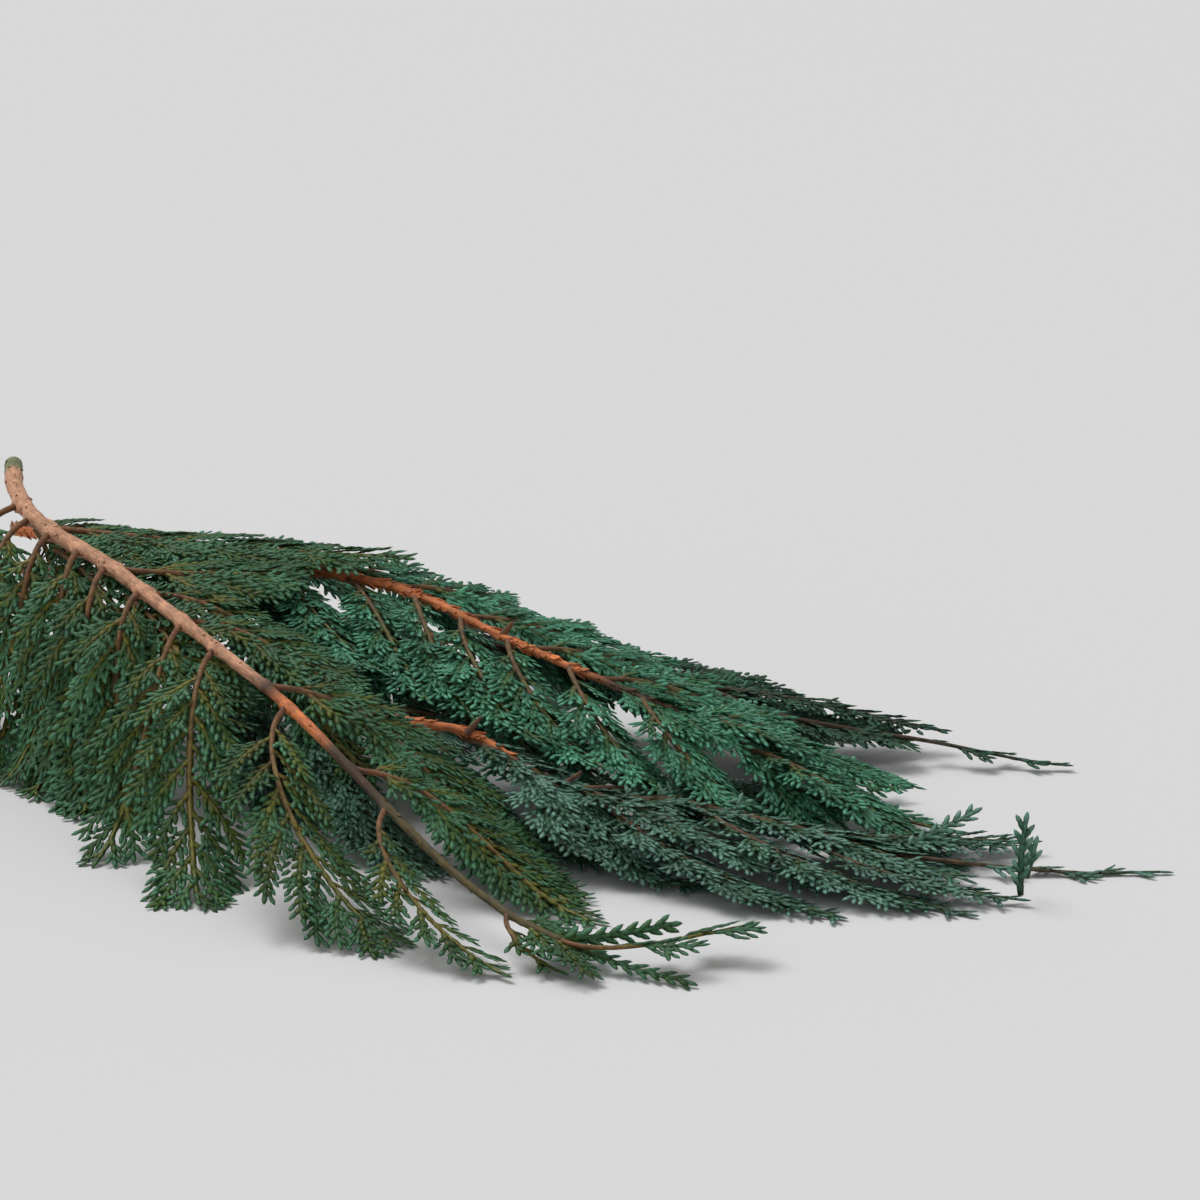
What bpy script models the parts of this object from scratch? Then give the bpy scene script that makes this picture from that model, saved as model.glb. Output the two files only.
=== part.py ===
"""A bunch of four preserved cedar branches, lying on a table.

Every branch is a tapered woody stem with flat side sprays, which droop to the
table or onto the branches below. Each spray is a thin leaf-shaped solid that
reaches the tips of its twigs. Sizes are in millimetres here and become metres
in the scene. X runs along the bunch, Y away from the viewer, Z up, and the
origin is on the table under the middle of the bunch.
"""

import math
from collections import namedtuple

import bmesh
import bpy
from mathutils import Vector

MM = 0.001
UP = Vector((0.0, 0.0, 1.0))

# Stems
STEM_STEP = 7.0
STEM_SIDES = 8
KNUCKLE_SWELL = 0.22
KNUCKLE_REACH = 3.5
CUT_END_FLARE = 1.12
CURVE_PIECES = 24
BARK_ROUGHNESS = 0.75

# Side sprays
SPRAY_RINGS = 9
SPRAY_THICKNESS = 2.6
SPRAY_NECK = 1.3
SPRAY_GAP = 0.8
SPRAY_SHINGLE = math.radians(14)
LEAVING_ANGLE = math.radians(48)
LEAVING_SLOPE = 0.4
TIP_SLOPE = 0.25
TIP_FLATTEN = 0.34
WIDEST_AT = 0.42
SWELL_POWER = 0.9
TAPER_FROM = 0.5
TAPER_POWER = 2.4
THINNEST = 0.55
FIRST_RING = 0.01
LAST_RING = 0.97
DIRECTION_STEP = 0.02
FLAT_FROM = 0.3
FLAT_THICKNESS = 2.4
ON_TABLE = 4.0
LEAF_ROUGHNESS = 0.6

Spray = namedtuple("Spray", "along tip half_width shingle", defaults=(1.0,))
Branch = namedtuple(
    "Branch", "name route base_radius tip_radius bark leaf near far tips"
)

# A spray's numbers are where it leaves the stem, where its tip lies and half its width.
# Near is the side towards the viewer and far the side away from it.
FRONT = Branch(
    name="front",
    route=(
        (-140, 125, 68), (-136, 100, 66), (-125, 69, 64), (-102, 38, 60), (-80, 6, 54),
        (-53, -30, 45), (-40, -49, 40), (-25, -71, 32), (-2, -99, 18), (16, -118, 10),
        (30, -130, 7),
    ),
    base_radius=3.3,
    tip_radius=0.9,
    bark=(0.55, 0.27, 0.16),
    leaf=(0.05, 0.14, 0.07),
    near=(
        Spray(38, (-188, 93, 3), 15),
        Spray(52, (-166, 49, 3), 12),
        Spray(66, (-148, 31, 3), 9),
        Spray(82, (-130, 15, 3), 10),
        Spray(97, (-113, -3, 3), 11),
        Spray(117, (-99, -9, 3), 12),
        Spray(141, (-97, -52, 2), 13),
        Spray(158, (-67, -85, 2), 17),
        Spray(196, (-14, -118, 2), 16),
        Spray(248, (15, -140, 2), 9),
        Spray(300, (29, -138, 2), 5),
    ),
    far=(
        Spray(62, (-20, 59, 57), 13, 0.2),
        Spray(100, (-48, 41, 57), 12),
        Spray(119, (-38, 5, 42), 9),
        Spray(139, (-28, -23, 40), 10),
        Spray(183, (27, -75, 4), 12),
        Spray(230, (32, -89, 3), 9),
    ),
    tips=(Spray(319, (78, -124, 9), 15, 0.0),),
)
REAR = Branch(
    name="rear",
    route=(
        (-142, 137, 44), (-100, 103, 50), (-54, 67, 52), (-18, 51, 49), (14, 26, 41),
        (42, 7, 34), (64, -5, 28), (82, -11, 20), (94, -22, 12), (118, -30, 7),
    ),
    base_radius=2.5,
    tip_radius=0.6,
    bark=(0.62, 0.27, 0.11),
    leaf=(0.04, 0.18, 0.12),
    near=(
        Spray(70, (-88, 65, 40), 9),
        Spray(113, (-21, 0, 39), 9),
        Spray(134, (-8, -10, 34), 8),
        Spray(157, (6, -18, 30), 8),
        Spray(175, (24, -27, 27), 9),
        Spray(193, (41, -30, 21), 9),
        Spray(215, (59, -36, 15), 9),
        Spray(240, (82, -37, 12), 10),
    ),
    far=(
        Spray(60, (-58, 133, 24), 14),
        Spray(90, (-16, 115, 26), 14),
        Spray(124, (14, 83, 34), 12),
        Spray(150, (36, 69, 30), 12),
        Spray(175, (58, 55, 27), 11),
        Spray(200, (74, 41, 24), 10),
        Spray(225, (94, 25, 18), 10),
        Spray(254, (114, 7, 9), 9),
    ),
    tips=(Spray(319, (138, -35, 4), 8, 0.0),),
)
MIDDLE = Branch(
    name="middle",
    route=(
        (-146, 109, 34), (-98, 63, 33), (-31, -1, 30), (-13, -17, 30), (4, -21, 28),
        (21, -33, 21), (39, -42, 16), (59, -41, 15), (78, -45, 12), (108, -55, 7),
        (121, -58, 5),
    ),
    base_radius=2.6,
    tip_radius=0.7,
    bark=(0.38, 0.15, 0.07),
    leaf=(0.06, 0.16, 0.14),
    near=(
        Spray(60, (-110, 15, 3), 14),
        Spray(110, (-48, -5, 3), 14),
        Spray(150, (-16, -53, 3), 13),
        Spray(186, (28, -50, 3), 9),
        Spray(221, (56, -67, 3), 9),
        Spray(244, (90, -91, 3), 9),
        Spray(270, (124, -91, 2), 8),
        Spray(300, (151, -85, 2), 7),
    ),
    far=(
        Spray(95, (-60, 49, 12), 13),
        Spray(165, (26, 25, 12), 12),
        Spray(235, (94, -5, 6), 10),
    ),
    tips=(Spray(329, (192, -60, 0), 8, 0.0),),
)
BACK = Branch(
    name="back",
    route=(
        (-148, 146, 30), (-93, 123, 28), (-30, 99, 24), (29, 69, 22), (69, 51, 19),
        (92, 40, 14), (122, 37, 9),
    ),
    base_radius=2.2,
    tip_radius=0.7,
    bark=(0.40, 0.18, 0.09),
    leaf=(0.03, 0.09, 0.06),
    near=(
        Spray(150, (22, 43, 4), 12),
        Spray(225, (108, 23, 3), 9),
    ),
    far=(
        Spray(80, (-58, 145, 4), 14),
        Spray(150, (32, 107, 4), 14),
        Spray(215, (114, 65, 3), 12),
    ),
    tips=(Spray(294, (174, 30, 2), 8, 0.0),),
)
BRANCHES = (FRONT, REAR, MIDDLE, BACK)


def clear_scene():
    for obj in list(bpy.data.objects):
        bpy.data.objects.remove(obj, do_unlink=True)


def material(name, colour, roughness):
    made = bpy.data.materials.new(name)
    made.use_nodes = True
    shader = made.node_tree.nodes["Principled BSDF"]
    shader.inputs["Base Color"].default_value = (*colour, 1.0)
    shader.inputs["Roughness"].default_value = roughness
    return made


def smooth_path(points, step):
    """Evenly spaced points on a smooth curve through the given ones."""
    points = [Vector(p) for p in points]
    ends = [2 * points[0] - points[1], *points, 2 * points[-1] - points[-2]]
    fine = []
    for i in range(1, len(ends) - 2):
        before, start, stop, after = ends[i - 1 : i + 3]
        for k in range(CURVE_PIECES):
            t = k / CURVE_PIECES
            fine.append(
                0.5
                * (
                    2 * start
                    + (stop - before) * t
                    + (2 * before - 5 * start + 4 * stop - after) * t**2
                    + (3 * start - before - 3 * stop + after) * t**3
                )
            )
    fine.append(points[-1])
    lengths = [0.0]
    for a, b in zip(fine, fine[1:]):
        lengths.append(lengths[-1] + (b - a).length)
    count = max(2, round(lengths[-1] / step) + 1)
    return [point_at(fine, lengths, lengths[-1] * i / (count - 1)) for i in range(count)]


def point_at(points, lengths, distance):
    for i in range(1, len(points)):
        if lengths[i] >= distance or i == len(points) - 1:
            share = (distance - lengths[i - 1]) / (lengths[i] - lengths[i - 1])
            return points[i - 1].lerp(points[i], min(max(share, 0.0), 1.0))


class Stem:
    """A branch's centre line and its thickness along it."""

    def __init__(self, branch):
        self.branch = branch
        self.points = smooth_path(branch.route, STEM_STEP)
        self.length = sum((b - a).length for a, b in zip(self.points, self.points[1:]))
        self.nodes = [s.along for s in (*branch.near, *branch.far)]

    def spot(self, along):
        """The point this far along the stem, and the direction there."""
        place = min(along, self.length) / self.length * (len(self.points) - 1)
        i = min(int(place), len(self.points) - 2)
        step = self.points[i + 1] - self.points[i]
        return self.points[i] + step * (place - i), step.normalized()

    def radius(self, along):
        base, tip = self.branch.base_radius, self.branch.tip_radius
        plain = base + (tip - base) * min(along / self.length, 1.0)
        near = min((abs(along - n) for n in self.nodes), default=KNUCKLE_REACH)
        swell = KNUCKLE_SWELL * max(0.0, 1 - near / KNUCKLE_REACH)
        flare = CUT_END_FLARE if along < STEM_STEP / 2 else 1.0
        return plain * (1 + swell) * flare

    def build(self):
        curve = bpy.data.curves.new(f"{self.branch.name}_stem", "CURVE")
        curve.dimensions = "3D"
        curve.bevel_depth = MM
        curve.bevel_resolution = STEM_SIDES // 4
        curve.use_fill_caps = True
        line = curve.splines.new("POLY")
        line.points.add(len(self.points) - 1)
        for i, point in enumerate(self.points):
            along = self.length * i / (len(self.points) - 1)
            line.points[i].co = (*(point * MM), 1.0)
            line.points[i].radius = self.radius(along)
        made = bpy.data.objects.new(f"{self.branch.name}_stem", curve)
        bpy.context.collection.objects.link(made)
        made.data.materials.append(
            material(f"{self.branch.name} bark", self.branch.bark, BARK_ROUGHNESS)
        )
        return made


def bezier(a, b, c, d, t):
    u = 1 - t
    return a * u**3 + b * 3 * t * u**2 + c * 3 * t**2 * u + d * t**3


def spray_line(stem, spray, side):
    """The spray's own axis: out of the stem at an angle, then drooping to its tip."""
    spot, forward = stem.spot(spray.along)
    across = forward.cross(UP).normalized() * side
    if side:
        leave = forward * math.cos(LEAVING_ANGLE) + across * math.sin(LEAVING_ANGLE)
        clear = stem.radius(spray.along) + SPRAY_GAP + SPRAY_NECK * math.cos(LEAVING_ANGLE)
        start = spot + leave * clear / math.sin(LEAVING_ANGLE)
    else:
        leave = forward
        start = spot + leave * SPRAY_GAP
    tip = Vector(spray.tip)
    reach = (tip - start).length
    rise = leave.copy()
    rise.z *= LEAVING_SLOPE
    first = start + rise * reach * TIP_FLATTEN
    settle = tip - first
    settle.z *= TIP_SLOPE
    second = tip - settle.normalized() * reach * TIP_FLATTEN
    return start, first, second, tip


def spray_outline(t):
    """Half the spray's width at t from stem to tip, as a share of the widest."""
    swell = min(1.0, t / WIDEST_AT) ** SWELL_POWER
    late = max(0.0, (t - TAPER_FROM) / (1 - TAPER_FROM))
    taper = math.sqrt(max(0.0, 1 - late**TAPER_POWER))
    return swell * taper


def spray_mesh(name, stem, spray, side):
    """A thin closed solid: rings of edge, top, edge and bottom from neck to tip."""
    line = spray_line(stem, spray, side)
    flat = spray.tip[2] == 0
    resting = spray.tip[2] < ON_TABLE
    mesh = bmesh.new()
    rings = []
    for i in range(SPRAY_RINGS):
        t = FIRST_RING + (LAST_RING - FIRST_RING) * i / (SPRAY_RINGS - 1)
        centre = bezier(*line, t)
        ahead = bezier(*line, t + DIRECTION_STEP) - bezier(*line, t)
        level = Vector((ahead.y, -ahead.x, 0.0)).normalized()
        tilt = SPRAY_SHINGLE * spray.shingle * (1 - t**3 if resting else 1.0)
        across = (level * math.cos(tilt) + UP * math.sin(tilt) * side).normalized()
        normal = ahead.cross(across).normalized()
        normal = -normal if normal.z < 0 else normal
        wide = SPRAY_NECK + (spray.half_width - SPRAY_NECK) * spray_outline(t)
        thick = SPRAY_THICKNESS / 2 * (THINNEST + (1 - THINNEST) * spray_outline(t))
        corners = [
            centre + across * wide,
            centre + normal * thick,
            centre - across * wide,
            centre - normal * thick,
        ]
        if flat and t > FLAT_FROM:
            corners = [Vector((c.x, c.y, 0.0)) for c in corners]
            corners[1].z = FLAT_THICKNESS
        for corner in corners:
            corner.z = max(corner.z, 0.0)
        rings.append([mesh.verts.new(c * MM) for c in corners])
    for a, b in zip(rings, rings[1:]):
        for i in range(4):
            j = (i + 1) % 4
            mesh.faces.new((a[i], a[j], b[j], b[i]))
    mesh.faces.new(rings[0])
    mesh.faces.new(rings[-1])
    bmesh.ops.triangulate(mesh, faces=mesh.faces)
    bmesh.ops.recalc_face_normals(mesh, faces=mesh.faces)
    data = bpy.data.meshes.new(name)
    mesh.to_mesh(data)
    mesh.free()
    made = bpy.data.objects.new(name, data)
    bpy.context.collection.objects.link(made)
    return made


def build_branch(branch):
    stem = Stem(branch)
    stem.build()
    leaf = material(f"{branch.name} leaf", branch.leaf, LEAF_ROUGHNESS)
    groups = (("near", branch.near, 1), ("far", branch.far, -1), ("tip", branch.tips, 0))
    for group, sprays, side in groups:
        for number, spray in enumerate(sprays, 1):
            name = f"{branch.name}_{group}_spray_{number}"
            spray_mesh(name, stem, spray, side).data.materials.append(leaf)


clear_scene()
for one in BRANCHES:
    build_branch(one)
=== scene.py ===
"""The looks of a bunch of four preserved cedar branches lying on a table.

The twigs of every spray are worked out as centre lines that grow out of the side
branch which the spray hangs on. One Geometry Nodes tree clothes those lines: bare
ones get bark, and leafy ones get overlapping pairs of scale leaves. A second tree
lays flakes of bark on the stems. Lengths are in millimetres until they go into a
mesh, and metres from there. X runs along the bunch, Y away from the viewer, Z up.
"""

import math
import random
from collections import namedtuple

import bmesh
import bpy
import numpy as np
from mathutils import Matrix, Vector, noise


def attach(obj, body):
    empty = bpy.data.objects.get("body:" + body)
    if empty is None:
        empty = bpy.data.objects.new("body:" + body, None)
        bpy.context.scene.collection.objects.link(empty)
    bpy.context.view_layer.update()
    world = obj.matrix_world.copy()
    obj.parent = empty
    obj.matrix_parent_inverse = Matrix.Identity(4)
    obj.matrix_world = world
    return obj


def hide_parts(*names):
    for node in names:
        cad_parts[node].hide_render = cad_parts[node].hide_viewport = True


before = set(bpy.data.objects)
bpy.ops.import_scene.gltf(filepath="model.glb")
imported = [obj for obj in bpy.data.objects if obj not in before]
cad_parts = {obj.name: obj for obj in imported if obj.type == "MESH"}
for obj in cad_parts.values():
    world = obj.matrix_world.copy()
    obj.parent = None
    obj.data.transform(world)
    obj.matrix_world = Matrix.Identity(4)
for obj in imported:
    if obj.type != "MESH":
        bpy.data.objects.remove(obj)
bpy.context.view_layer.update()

MM = 0.001
UP = Vector((0.0, 0.0, 1.0))
BODY = "root"
MAP_NAME = "OFBake"

# Camera, light and table
CAMERA_PLACE = (40.0, -1213.5, 408.4)
CAMERA_BELOW_LEVEL = math.radians(16)
CAMERA_LENS = 135.0
CAMERA_SENSOR = 36.0
CAMERA_SIGHT = 20000.0
SKY_STRENGTH = 0.4
SUN_STRENGTH = 1.68
SUN_SPREAD = math.radians(36)
SUN_FROM = (-0.45, 0.35, 1.0)
TABLE_SIZE = 16000.0
TABLE_GREY = 0.8
TABLE_ROUGHNESS = 0.9
TABLE_SHINE = 0.1

# The branches as the solids have them: a spray's numbers are where it leaves the
# stem, where its tip lies, half its width and how much of the usual tilt it has.
Spray = namedtuple("Spray", "along tip half_width shingle", defaults=(1.0,))
Branch = namedtuple("Branch", "name route base_radius tip_radius near far tips")
Plume = namedtuple("Plume", "start heading normal length hand tint age sag fullness")

FRONT = Branch(
    name="front",
    route=(
        (-140, 125, 68), (-136, 100, 66), (-125, 69, 64), (-102, 38, 60), (-80, 6, 54),
        (-53, -30, 45), (-40, -49, 40), (-25, -71, 32), (-2, -99, 18), (16, -118, 10),
        (30, -130, 7),
    ),
    base_radius=3.3,
    tip_radius=0.9,
    near=(
        Spray(38, (-188, 93, 3), 15), Spray(52, (-166, 49, 3), 12),
        Spray(66, (-148, 31, 3), 9), Spray(82, (-130, 15, 3), 10),
        Spray(97, (-113, -3, 3), 11), Spray(117, (-99, -9, 3), 12),
        Spray(141, (-97, -52, 2), 13), Spray(158, (-67, -85, 2), 17),
        Spray(196, (-14, -118, 2), 16), Spray(248, (15, -140, 2), 9),
        Spray(300, (29, -138, 2), 5),
    ),
    far=(
        Spray(62, (-20, 59, 57), 13, 0.2), Spray(100, (-48, 41, 57), 12),
        Spray(119, (-38, 5, 42), 9), Spray(139, (-28, -23, 40), 10),
        Spray(183, (27, -75, 4), 12), Spray(230, (32, -89, 3), 9),
    ),
    tips=(Spray(319, (78, -124, 9), 15, 0.0),),
)
REAR = Branch(
    name="rear",
    route=(
        (-142, 137, 44), (-100, 103, 50), (-54, 67, 52), (-18, 51, 49), (14, 26, 41),
        (42, 7, 34), (64, -5, 28), (82, -11, 20), (94, -22, 12), (118, -30, 7),
    ),
    base_radius=2.5,
    tip_radius=0.6,
    near=(
        Spray(70, (-88, 65, 40), 9), Spray(113, (-21, 0, 39), 9),
        Spray(134, (-8, -10, 34), 8), Spray(157, (6, -18, 30), 8),
        Spray(175, (24, -27, 27), 9), Spray(193, (41, -30, 21), 9),
        Spray(215, (59, -36, 15), 9), Spray(240, (82, -37, 12), 10),
    ),
    far=(
        Spray(60, (-58, 133, 24), 14), Spray(90, (-16, 115, 26), 14),
        Spray(124, (14, 83, 34), 12), Spray(150, (36, 69, 30), 12),
        Spray(175, (58, 55, 27), 11), Spray(200, (74, 41, 24), 10),
        Spray(225, (94, 25, 18), 10), Spray(254, (114, 7, 9), 9),
    ),
    tips=(Spray(319, (138, -35, 4), 8, 0.0),),
)
MIDDLE = Branch(
    name="middle",
    route=(
        (-146, 109, 34), (-98, 63, 33), (-31, -1, 30), (-13, -17, 30), (4, -21, 28),
        (21, -33, 21), (39, -42, 16), (59, -41, 15), (78, -45, 12), (108, -55, 7),
        (121, -58, 5),
    ),
    base_radius=2.6,
    tip_radius=0.7,
    near=(
        Spray(60, (-110, 15, 3), 14), Spray(110, (-48, -5, 3), 14),
        Spray(150, (-16, -53, 3), 13), Spray(186, (28, -50, 3), 9),
        Spray(221, (56, -67, 3), 9), Spray(244, (90, -91, 3), 9),
        Spray(270, (124, -91, 2), 8), Spray(300, (151, -85, 2), 7),
    ),
    far=(
        Spray(95, (-60, 49, 12), 13), Spray(165, (26, 25, 12), 12),
        Spray(235, (94, -5, 6), 10),
    ),
    tips=(Spray(329, (192, -60, 0), 8, 0.0),),
)
BACK = Branch(
    name="back",
    route=(
        (-148, 146, 30), (-93, 123, 28), (-30, 99, 24), (29, 69, 22), (69, 51, 19),
        (92, 40, 14), (122, 37, 9),
    ),
    base_radius=2.2,
    tip_radius=0.7,
    near=(Spray(150, (22, 43, 4), 12), Spray(225, (108, 23, 3), 9)),
    far=(
        Spray(80, (-58, 145, 4), 14), Spray(150, (32, 107, 4), 14),
        Spray(215, (114, 65, 3), 12),
    ),
    tips=(Spray(294, (174, 30, 2), 8, 0.0),),
)
BRANCHES = (FRONT, REAR, MIDDLE, BACK)
NEAR, FAR, TIP = 1, -1, 0

# How the solids are shaped, repeated so that the twigs lie where they are
CURVE_PIECES = 24
STEM_STEP = 7.0
LEAVING_ANGLE = math.radians(48)
SPRAY_NECK = 1.3
SPRAY_GAP = 0.8
SPRAY_SHINGLE = math.radians(14)
LEAVING_SLOPE = 0.4
TIP_SLOPE = 0.25
TIP_FLATTEN = 0.34
WIDEST_AT = 0.42
SWELL_POWER = 0.9
TAPER_FROM = 0.5
TAPER_POWER = 2.4
DIRECTION_STEP = 0.02
ON_TABLE = 4.0

# Stems: slimmer at the base than the solids, with knuckles where sprays leave
BASE_SLIM = 0.84
THINNING_POWER = 1.2
RING_STEP = 0.9
STEM_SIDES = 20
KNUCKLE_AHEAD = 1.0
KNUCKLE_LENGTH = 2.4
KNUCKLE_SWELL = 0.08
COLLAR_SWELL = 0.4
LUMPS_AROUND = 2.2
LUMPS_ALONG = 0.22
LUMPS_FROM = 7.0
LUMP_HEIGHT = 0.09
RIDGES_AROUND = 2.3
RIDGES_ALONG = 0.06
RIDGE_HEIGHT = 0.07
CUT_END_NARROWING = 0.9

# Flakes for each square metre of bark, and the shortest and longest one
FLAKE_DENSITY = {"front": 30000.0, "rear": 210000.0, "middle": 150000.0, "back": 60000.0}
LONGEST_FLAKE = {"front": 1.8, "rear": 3.4, "middle": 3.2, "back": 2.0}
SHORTEST_FLAKE = 0.8

# A pair whose name ends in VARIES is the range of a random factor. A twist or a roll
# turns the plane that the other angles lie in.
MARCH_STEP = 2.2
REST_HEIGHT = 0.9
LOWEST = 0.05

# Side branches. The front branch's near ones and the ends' own start bare.
LATERAL_STEP = 2.0
FEWEST_STEPS = 4
FIRST_STEP = 0.001
LENGTH_PARTS = 60
BARE_SHARE = 0.07
TIP_BARE = 0.15
LEAFY_FROM = 0.4
WOOD_RADIUS = (1.05, 0.35)
THIN_STEM_SHARE = 0.6
LATERAL_WIDTH = (1.2, 0.95)

# The lower fork of a side branch, which fills in below it
FORK_AT = 0.2
FORKS_UNTIL = 0.9
LOWER_SHIFT = 13.0
LOWER_WIDTH = 0.8
LOWER_HEIGHT = 0.5
LOWER_BARE = 0.1

# Plumes along a side branch. Open sprays and the branches' ends have fewer.
PLUME_GAP = 7.4
PLUME_GAP_VARIES = (0.88, 1.12)
FIRST_GAP_VARIES = (0.2, 0.8)
PLUME_ANGLE = math.radians(39)
PLUME_ANGLE_VARIES = (0.85, 1.12)
PLUME_LENGTH_VARIES = (0.72, 1.15)
PLUME_REACH_ANGLE = PLUME_ANGLE * 0.86
PLUME_TURN = math.radians(14)
PLUME_TWIST = math.radians(16)
PLUME_TWIST_VARIES = (0.4, 1.4)
PLUME_SAG = 0.006
PLUME_SAG_VARIES = (0.3, 1.6)
PLUME_WIDTH = (1.0, 0.8)
SHORTEST_PLUME = 2.0
LAST_PLUME = 2.0
ROOM_AT_TIP = 3.0
ROOM_SHARE = 1.25
SPREAD = 1.25
NARROWEST = 3.0
REACH_SHARE = 0.9
REACH_LIMIT = 0.97
FULL_FROM = 0.26
OPEN_FROM = 140
OPEN_WIDTH = 0.95
OPEN_FULLNESS = 0.78
TIP_WIDTH = 0.75
TIP_GAP = 2.0
TIP_LEAN = 0.72

# Twigs on a plume, longest a quarter of the way along, and those on long twigs
TWIG_GAP = 3.3
TWIG_GAP_VARIES = (0.9, 1.1)
FIRST_TWIG_VARIES = (0.5, 1.0)
TWIG_LENGTH = 7.2
TWIG_LENGTH_VARIES = (0.82, 1.12)
TWIG_ANGLE = math.radians(46)
TWIG_ANGLE_VARIES = (0.85, 1.15)
TWIG_TURN = math.radians(16)
TWIG_WIDTH = (0.9, 0.72)
TWIG_REACH = 2.6
SHORTEST_TWIG = 1.6
LAST_TWIG = 0.8
LONGEST_TWIG_AT = 0.25
FIRST_TWIG_SHARE = 0.62
TWIG_SWELL = 1.5
TWIG_TAPER = 0.62
SHORT_PLUME_SHARE = 0.45
LONG_PLUME = 28
FORK_FROM = 5.2
FORK_GAP = 2.7
FIRST_FORK = 0.75
FORK_LENGTH = 2.9
FORK_LENGTH_VARIES = (0.75, 1.1)
FORK_ANGLE_VARIES = (0.85, 1.1)
FORK_TAPER = 0.45
LAST_FORK = 1.4

# Plumes straight on the last stretch of each stem
END_FROM = {"front": 0.95, "rear": 0.72, "middle": 0.68, "back": 0.6}
END_ANGLE = math.radians(27)
END_ANGLE_VARIES = (0.8, 1.2)
END_ROLL = math.radians(35)
END_GAP = 4.2
END_GAP_VARIES = (0.7, 1.3)
END_LENGTH = (12.0, 22.0)

# How old a twig looks from its root to its end: 0 is a young tip and 1 brown wood
WOOD_AGE = (1.0, 0.55)
LATERAL_AGE = (0.95, 0.2)
PLUME_AGE = 0.85
TIP_PLUME_AGE = 0.45
PLUME_AGE_FALL = 0.4
PLUME_END_AGE = 0.15
END_AGE = 0.6
TWIG_AGE_SHARE = 0.5
FORK_AGE = (0.15, 0.0)
SPRIG_AGE = (0.4, 0.0)
SPRIG_TWIG_AGE = (0.2, 0.0)
STUB_AGE = (1.0, 1.0)

# Twigs that stand out from their spray, by branch, side and where the spray leaves
SPRIG_TWIG = 1.8
SPRIG_TWIG_VARIES = (0.7, 1.2)
SPRIG_TINT = 0.3
SPRIGS = {
    ("middle", NEAR, 300): (
        ((152, -83, 3), (152, -82, 12), (153, -81, 22)),
        ((154, -78, 6), (156, -77, 14)),
    ),
    ("middle", TIP, 329): (((119, -58, 5), (131, -51, 9), (142, -46, 13)),),
    ("front", TIP, 319): (
        ((30, -130, 7), (47, -138, 3), (62, -145, 1.5)),
        ((29, -130, 7), (44, -131, 9), (58, -129, 11)),
    ),
}

# Side branches that fill in under the listed spray: start, tip, half width and shingle
FILLS = {
    ("front", FAR, 62): (((-132, 88, 59), (-72, 80, 47), 13, 0.5),),
    ("front", NEAR, 52): (((-129, 88, 57), (-114, 40, 46), 11, -3.0),),
    ("front", NEAR, 82): (((-120, 62, 58), (-84, 4, 41), 13, -3.2),),
    ("front", NEAR, 117): (((-96, 30, 53), (-62, -32, 34), 12, -3.2),),
    ("rear", NEAR, 113): (((-64, 75, 50), (-30, 12, 31), 12, 0.5),),
    ("rear", NEAR, 134): (((-30, 56, 49), (-14, -10, 22), 11, 0.5),),
    ("rear", TIP, 319): (
        ((60, -4, 28), (128, -14, 10), 9, 0.5), ((82, -11, 20), (132, -50, 4), 9, 0.5),
    ),
    ("middle", NEAR, 186): (((2, -20, 26), (58, -64, 4), 11, 0.5),),
    ("middle", NEAR, 221): (((30, -38, 18), (100, -78, 3), 9, 0.5),),
    ("middle", TIP, 329): (
        ((78, -45, 12), (138, -72, 3), 9, 0.5), ((100, -52, 8), (158, -44, 4), 8, 0.5),
    ),
    ("back", TIP, 294): (((69, 51, 19), (140, 48, 7), 7, 0.5),),
}

# Broken stubs: where they leave the stem and where they end
STUB_RADIUS = (1.3, 0.45)
STUBS = {
    ("middle", NEAR, 186): ((3, -22, 28), (7, -22, 33)),
    ("middle", NEAR, 221): ((30, -38, 18), (35, -37, 22)),
    ("rear", NEAR, 157): ((12, 28, 42), (15, 27, 46)),
}

# Scale leaves: the pitch of a pair is this many times half its width
LEAF_PITCH = 2.85
LEAF_OVERLAP = 1.12
LEAF_JITTER = math.radians(5)
LEAF_THICKNESS = 1.0
LEAF_SPAN = (-0.2, 1.3)
BARK_SIDES = 7


def srgb(red, green, blue):
    """A colour in screen values, from 0 to 255, as the shader takes it."""
    def linear(value):
        value /= 255
        return value / 12.92 if value <= 0.04045 else ((value + 0.055) / 1.055) ** 2.4
    return (linear(red), linear(green), linear(blue), 1.0)


# Foliage colours from the young tips to the old axes, for each branch
AGES = (0.0, 0.3, 0.65, 1.0)
FOLIAGE = {
    "front": (srgb(84, 136, 100), srgb(62, 98, 44), srgb(128, 124, 54), srgb(108, 78, 42)),
    "rear": (srgb(100, 172, 138), srgb(46, 110, 76), srgb(90, 114, 60), srgb(112, 82, 50)),
    "middle": (srgb(116, 160, 142), srgb(50, 96, 72), srgb(70, 90, 54), srgb(88, 70, 48)),
    "back": (srgb(62, 108, 84), srgb(34, 68, 46), srgb(50, 64, 38), srgb(64, 54, 40)),
}
SIDE_BARK = {
    "front": srgb(128, 84, 58),
    "rear": srgb(120, 84, 56),
    "middle": srgb(110, 76, 54),
    "back": srgb(84, 64, 48),
}

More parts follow.
